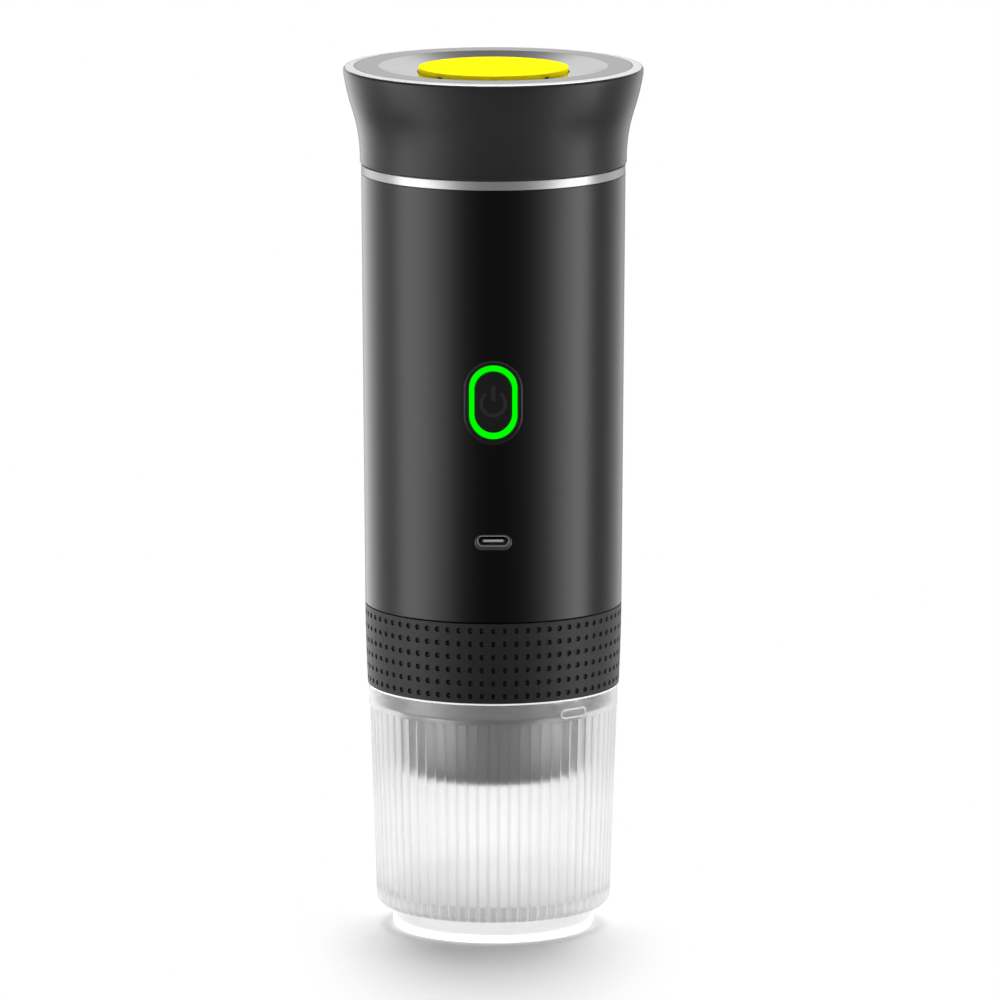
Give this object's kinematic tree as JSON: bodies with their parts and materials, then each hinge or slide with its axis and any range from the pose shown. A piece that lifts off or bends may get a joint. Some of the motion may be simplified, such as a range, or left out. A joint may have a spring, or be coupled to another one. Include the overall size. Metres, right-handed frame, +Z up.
{
  "type": "portable espresso machine",
  "caption": "Battery portable espresso machine: flared lid with press vent, tapered body with lit power button and USB-C socket, dimpled grip ring, brew chamber and ribbed clear cup.",
  "frame": {"origin": "on the floor under the middle of the cup's foot", "axes": "+Z up along the axis of the body, -Y to the front with the power button, +X to its right"},
  "size_m": [0.0824, 0.0824, 0.24],
  "materials": {
    "cup_clear": "translucent moulded plastic",
    "grip_rubber": "matte black rubber with small dimples",
    "black_plastic": "fine matte black",
    "grey_plastic": "dark grey moulded plastic",
    "silicone": "soft grey silicone",
    "body_black": "matte black anodised",
    "lid_black": "satin charcoal",
    "bright_metal": "polished ring",
    "steel": "stainless sheet",
    "dish_metal": "satin spun metal",
    "vent_yellow": "satin bright yellow",
    "light_green": "lit diffuser",
    "button_black": "matte black",
    "white_plastic": "natural nylon",
    "board_green": "solder mask",
    "cell_sleeve": "battery cell in a shrink sleeve",
    "hose_clear": "food grade tube",
    "light_grey": "moulded contact carrier"
  },
  "bodies": {
    "cup": {"coffee_cup": "cup_clear"},
    "brew_head": {"grip_ring": "grip_rubber", "brew_collar": "black_plastic", "brew_chamber": "grey_plastic", "outlet_valve": "silicone", "coffee_basket": "steel"},
    "brew_seal": {"brew_seal": "silicone"},
    "unit": {"base_cap": "black_plastic", "shower_screen": "steel", "base_screws": "steel", "battery_tray": "white_plastic", "battery_cells": "cell_sleeve", "chassis_frame": "white_plastic", "outlet_tube": "white_plastic", "pump_head": "grey_plastic", "motor_mount": "grey_plastic", "motor_can": "steel", "water_tank": "steel", "heater_plate": "dish_metal", "tank_outlet": "white_plastic", "inlet_hose": "hose_clear", "control_board": "board_green", "tact_switch": "black_plastic", "usb_shell": "bright_metal", "usb_tongue": "light_grey", "port_bezel": "button_black", "button_bezel": "button_black", "light_ring": "light_green", "housing_sleeve": "body_black", "trim_ring": "bright_metal"},
    "drive": {"drive_coupling": "steel"},
    "power_button": {"power_button": "button_black", "switch_plunger": "white_plastic"},
    "lid_gasket": {"lid_gasket": "silicone"},
    "lid": {"lid_collar": "lid_black", "lid_dish": "dish_metal", "lid_plug": "black_plastic", "vent_spring": "steel"},
    "vent_button": {"vent_button": "vent_yellow", "valve_stem": "steel", "valve_disc": "silicone"}
  },
  "joints": [
    {"name": "cup_lift_off", "type": "slide", "parent": "cup", "child": "brew_head", "axis": [0, 0, 1], "range_m": [0, 0.06]},
    {"name": "unit_rise", "type": "slide", "parent": "brew_head", "child": "brew_seal", "axis": [0, 0, 1], "range_m": [0, 0.012]},
    {"name": "unit_turn", "type": "hinge", "parent": "brew_seal", "child": "unit", "pos_m": [0, 0, 0.0815], "axis": [0, 0, 1], "range_deg": [0, 360]},
    {"name": "motor_spin", "type": "hinge", "parent": "unit", "child": "drive", "pos_m": [0, 0, 0.1175], "axis": [0, 0, 1], "continuous": true},
    {"name": "power_press", "type": "slide", "parent": "unit", "child": "power_button", "axis": [0, 1, 0], "range_m": [0, 0.0008], "stiffness_N_per_m": 1500, "springref_m": -0.001},
    {"name": "lid_rise", "type": "slide", "parent": "unit", "child": "lid_gasket", "axis": [0, 0, 1], "range_m": [0, 0.01]},
    {"name": "lid_turn", "type": "hinge", "parent": "lid_gasket", "child": "lid", "pos_m": [0, 0, 0.213], "axis": [0, 0, 1], "range_deg": [0, 360]},
    {"name": "vent_press", "type": "slide", "parent": "lid", "child": "vent_button", "axis": [0, 0, -1], "range_m": [0, 0.002], "stiffness_N_per_m": 800, "springref_m": -0.004, "deforming": ["vent_spring"]}
  ],
  "couplings": [
    {"joint": "unit_rise", "follows": "unit_turn", "m_per_rad": 0.0019099},
    {"joint": "lid_rise", "follows": "lid_turn", "m_per_rad": 0.0015915}
  ]
}
